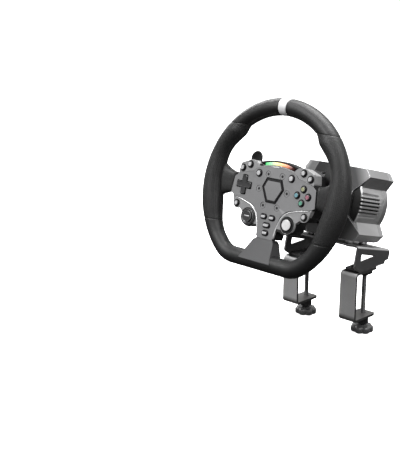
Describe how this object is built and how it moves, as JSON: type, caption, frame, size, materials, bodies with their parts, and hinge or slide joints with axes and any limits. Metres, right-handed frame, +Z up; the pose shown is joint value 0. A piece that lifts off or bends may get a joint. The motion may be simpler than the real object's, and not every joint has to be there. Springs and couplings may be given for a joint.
{
  "type": "racing wheel",
  "caption": "Desk-mounted racing wheel with a flat-bottomed leather rim, button hub, shift paddles, round direct-drive base and screw clamps.",
  "frame": {"origin": "on the front edge of the desk at its top face, midway between the two clamps: the corner between the undersides of the clamps' upper arms and the backs of their front plates", "axes": "+X to the driver's right, +Y away from the driver over the desk, +Z up"},
  "size_m": [0.28, 0.2699, 0.3889],
  "materials": {
    "smooth_leather": "fine grain, semi matte",
    "perforated_leather": "perforated, matte",
    "marker_leather": "light stitched band",
    "face_aluminium": "bead blasted, dark grey anodised",
    "light_plastic": "satin silver grey",
    "dark_plastic": "fine spark texture",
    "button_plastic": "dark glossy cap with a pale top",
    "green_button": "tinted cap",
    "red_button": "tinted cap",
    "blue_button": "tinted cap",
    "yellow_button": "tinted cap",
    "white_button": "white lit disc",
    "led": "diffuser over a row of lights, green to yellow to red",
    "base_aluminium": "blasted, dark grey",
    "bracket_steel": "dark powder coat, bright edges",
    "clamp_steel": "grey satin coat",
    "bright_steel": "ground",
    "zinc_steel": "plated",
    "circuit_board": "solder mask",
    "copper_stack": "laminations and windings",
    "grip_rubber": "moulded",
    "star_plastic": "moulded knob"
  },
  "bodies": {
    "base": {"motor_housing": "base_aluminium", "front_cover": "base_aluminium", "top_cover": "base_aluminium", "bottom_cover": "base_aluminium", "rear_cover": "base_aluminium", "stator": "copper_stack", "bearings": "bright_steel", "control_board": "circuit_board", "base_spacers": "grip_rubber", "table_bracket": "bracket_steel", "bracket_bolts": "zinc_steel", "left_clamp_frame": "clamp_steel", "right_clamp_frame": "clamp_steel", "clamp_nuts": "zinc_steel"},
    "wheel": {"rim_core": "zinc_steel", "right_grip": "perforated_leather", "left_grip": "perforated_leather", "rim_smooth_leather": "smooth_leather", "top_marker": "marker_leather", "side_spoke_covers": "smooth_leather", "bottom_spoke_cover": "face_aluminium", "face_plate": "face_aluminium", "light_trims": "light_plastic", "centre_badge": "face_aluminium", "button_frame": "dark_plastic", "hub_housing": "dark_plastic", "circuit_board": "circuit_board", "plate_screws": "face_aluminium", "led_bar": "led", "paddle_pins": "bright_steel", "quick_release_hub": "dark_plastic", "drive_shaft": "base_aluminium", "rotor": "copper_stack"},
    "quick_release_collar": {"quick_release_collar": "base_aluminium"},
    "left_paddle": {"left_paddle": "dark_plastic"},
    "right_paddle": {"right_paddle": "dark_plastic"},
    "pad_pivot": {"pad_pivot": "dark_plastic"},
    "direction_pad": {"direction_pad": "dark_plastic"},
    "rotary_knob": {"rotary_knob": "dark_plastic"},
    "top_left_outer_button": {"top_left_outer_button": "button_plastic"},
    "top_left_inner_button": {"top_left_inner_button": "button_plastic"},
    "top_right_inner_button": {"top_right_inner_button": "button_plastic"},
    "top_right_outer_button": {"top_right_outer_button": "button_plastic"},
    "action_button_top": {"action_button_top": "yellow_button"},
    "action_button_bottom": {"action_button_bottom": "green_button"},
    "action_button_left": {"action_button_left": "blue_button"},
    "action_button_right": {"action_button_right": "red_button"},
    "lower_left_button": {"lower_left_button": "button_plastic"},
    "lower_right_button": {"lower_right_button": "button_plastic"},
    "left_round_button": {"left_round_button": "button_plastic"},
    "right_round_button": {"right_round_button": "button_plastic"},
    "left_menu_button": {"left_menu_button": "button_plastic"},
    "right_menu_button": {"right_menu_button": "button_plastic"},
    "upper_centre_button": {"upper_centre_button": "button_plastic"},
    "lower_centre_button": {"lower_centre_button": "button_plastic"},
    "guide_button": {"guide_button": "white_button"},
    "left_clamp_pad": {"left_clamp_pad": "grip_rubber"},
    "left_clamp_screw": {"left_clamp_screw": "star_plastic"},
    "right_clamp_pad": {"right_clamp_pad": "grip_rubber"},
    "right_clamp_screw": {"right_clamp_screw": "star_plastic"}
  },
  "joints": [
    {"name": "steering", "type": "hinge", "parent": "base", "child": "wheel", "pos_m": [0, -0.123, 0.1447], "axis": [0, 0.9708, -0.2397], "continuous": true},
    {"name": "collar_pull", "type": "slide", "parent": "wheel", "child": "quick_release_collar", "axis": [0, -0.9708, 0.2397], "range_m": [0, 0.005], "stiffness_N_per_m": 1500, "springref_m": -0.004},
    {"name": "left_paddle_pull", "type": "hinge", "parent": "wheel", "child": "left_paddle", "pos_m": [-0.046, -0.09048, 0.13873], "axis": [0, 0.2397, 0.9708], "range_deg": [0, 4], "stiffness_Nm_per_rad": 2, "springref_deg": -2.86},
    {"name": "right_paddle_pull", "type": "hinge", "parent": "wheel", "child": "right_paddle", "pos_m": [0.046, -0.09048, 0.13873], "axis": [0, -0.2397, -0.9708], "range_deg": [0, 4], "stiffness_Nm_per_rad": 2, "springref_deg": -2.86},
    {"name": "top_left_outer_press", "type": "slide", "parent": "wheel", "child": "top_left_outer_button", "axis": [0, 0.9708, -0.2397], "range_m": [0, 0.0015], "stiffness_N_per_m": 300, "springref_m": -0.001},
    {"name": "top_left_inner_press", "type": "slide", "parent": "wheel", "child": "top_left_inner_button", "axis": [0, 0.9708, -0.2397], "range_m": [0, 0.0015], "stiffness_N_per_m": 300, "springref_m": -0.001},
    {"name": "top_right_inner_press", "type": "slide", "parent": "wheel", "child": "top_right_inner_button", "axis": [0, 0.9708, -0.2397], "range_m": [0, 0.0015], "stiffness_N_per_m": 300, "springref_m": -0.001},
    {"name": "top_right_outer_press", "type": "slide", "parent": "wheel", "child": "top_right_outer_button", "axis": [0, 0.9708, -0.2397], "range_m": [0, 0.0015], "stiffness_N_per_m": 300, "springref_m": -0.001},
    {"name": "action_button_top_press", "type": "slide", "parent": "wheel", "child": "action_button_top", "axis": [0, 0.9708, -0.2397], "range_m": [0, 0.0015], "stiffness_N_per_m": 300, "springref_m": -0.001},
    {"name": "action_button_bottom_press", "type": "slide", "parent": "wheel", "child": "action_button_bottom", "axis": [0, 0.9708, -0.2397], "range_m": [0, 0.0015], "stiffness_N_per_m": 300, "springref_m": -0.001},
    {"name": "action_button_left_press", "type": "slide", "parent": "wheel", "child": "action_button_left", "axis": [0, 0.9708, -0.2397], "range_m": [0, 0.0015], "stiffness_N_per_m": 300, "springref_m": -0.001},
    {"name": "action_button_right_press", "type": "slide", "parent": "wheel", "child": "action_button_right", "axis": [0, 0.9708, -0.2397], "range_m": [0, 0.0015], "stiffness_N_per_m": 300, "springref_m": -0.001},
    {"name": "lower_left_press", "type": "slide", "parent": "wheel", "child": "lower_left_button", "axis": [0, 0.9708, -0.2397], "range_m": [0, 0.0015], "stiffness_N_per_m": 300, "springref_m": -0.001},
    {"name": "lower_right_press", "type": "slide", "parent": "wheel", "child": "lower_right_button", "axis": [0, 0.9708, -0.2397], "range_m": [0, 0.0015], "stiffness_N_per_m": 300, "springref_m": -0.001},
    {"name": "left_round_press", "type": "slide", "parent": "wheel", "child": "left_round_button", "axis": [0, 0.9708, -0.2397], "range_m": [0, 0.0015], "stiffness_N_per_m": 300, "springref_m": -0.001},
    {"name": "right_round_press", "type": "slide", "parent": "wheel", "child": "right_round_button", "axis": [0, 0.9708, -0.2397], "range_m": [0, 0.0015], "stiffness_N_per_m": 300, "springref_m": -0.001},
    {"name": "left_menu_press", "type": "slide", "parent": "wheel", "child": "left_menu_button", "axis": [0, 0.9708, -0.2397], "range_m": [0, 0.0015], "stiffness_N_per_m": 300, "springref_m": -0.001},
    {"name": "right_menu_press", "type": "slide", "parent": "wheel", "child": "right_menu_button", "axis": [0, 0.9708, -0.2397], "range_m": [0, 0.0015], "stiffness_N_per_m": 300, "springref_m": -0.001},
    {"name": "upper_centre_press", "type": "slide", "parent": "wheel", "child": "upper_centre_button", "axis": [0, 0.9708, -0.2397], "range_m": [0, 0.0015], "stiffness_N_per_m": 300, "springref_m": -0.001},
    {"name": "lower_centre_press", "type": "slide", "parent": "wheel", "child": "lower_centre_button", "axis": [0, 0.9708, -0.2397], "range_m": [0, 0.0015], "stiffness_N_per_m": 300, "springref_m": -0.001},
    {"name": "guide_press", "type": "slide", "parent": "wheel", "child": "guide_button", "axis": [0, 0.9708, -0.2397], "range_m": [0, 0.0015], "stiffness_N_per_m": 300, "springref_m": -0.001},
    {"name": "pad_rock_up_down", "type": "hinge", "parent": "wheel", "child": "pad_pivot", "pos_m": [-0.0585, -0.11682, 0.14472], "axis": [1, 0, 0], "range_deg": [-5, 5], "stiffness_Nm_per_rad": 0.4},
    {"name": "pad_rock_left_right", "type": "hinge", "parent": "pad_pivot", "child": "direction_pad", "pos_m": [-0.0585, -0.11682, 0.14472], "axis": [0, 0.2397, 0.9708], "range_deg": [-5, 5], "stiffness_Nm_per_rad": 0.4},
    {"name": "knob_turn", "type": "hinge", "parent": "wheel", "child": "rotary_knob", "pos_m": [-0.0389, -0.13386, 0.10072], "axis": [0, 0.9708, -0.2397], "continuous": true},
    {"name": "left_clamp_travel", "type": "slide", "parent": "base", "child": "left_clamp_pad", "axis": [0, 0, 1], "range_m": [-0.062, 0]},
    {"name": "left_clamp_turn", "type": "hinge", "parent": "left_clamp_pad", "child": "left_clamp_screw", "pos_m": [-0.05955, 0.041, -0.1], "axis": [0, 0, 1], "range_deg": [-11160, 0]},
    {"name": "right_clamp_travel", "type": "slide", "parent": "base", "child": "right_clamp_pad", "axis": [0, 0, 1], "range_m": [-0.062, 0]},
    {"name": "right_clamp_turn", "type": "hinge", "parent": "right_clamp_pad", "child": "right_clamp_screw", "pos_m": [0.05955, 0.041, -0.1], "axis": [0, 0, 1], "range_deg": [-11160, 0]}
  ],
  "couplings": [
    {"joint": "left_clamp_turn", "follows": "left_clamp_travel", "rad_per_m": 3141.6},
    {"joint": "right_clamp_turn", "follows": "right_clamp_travel", "rad_per_m": 3141.6}
  ]
}
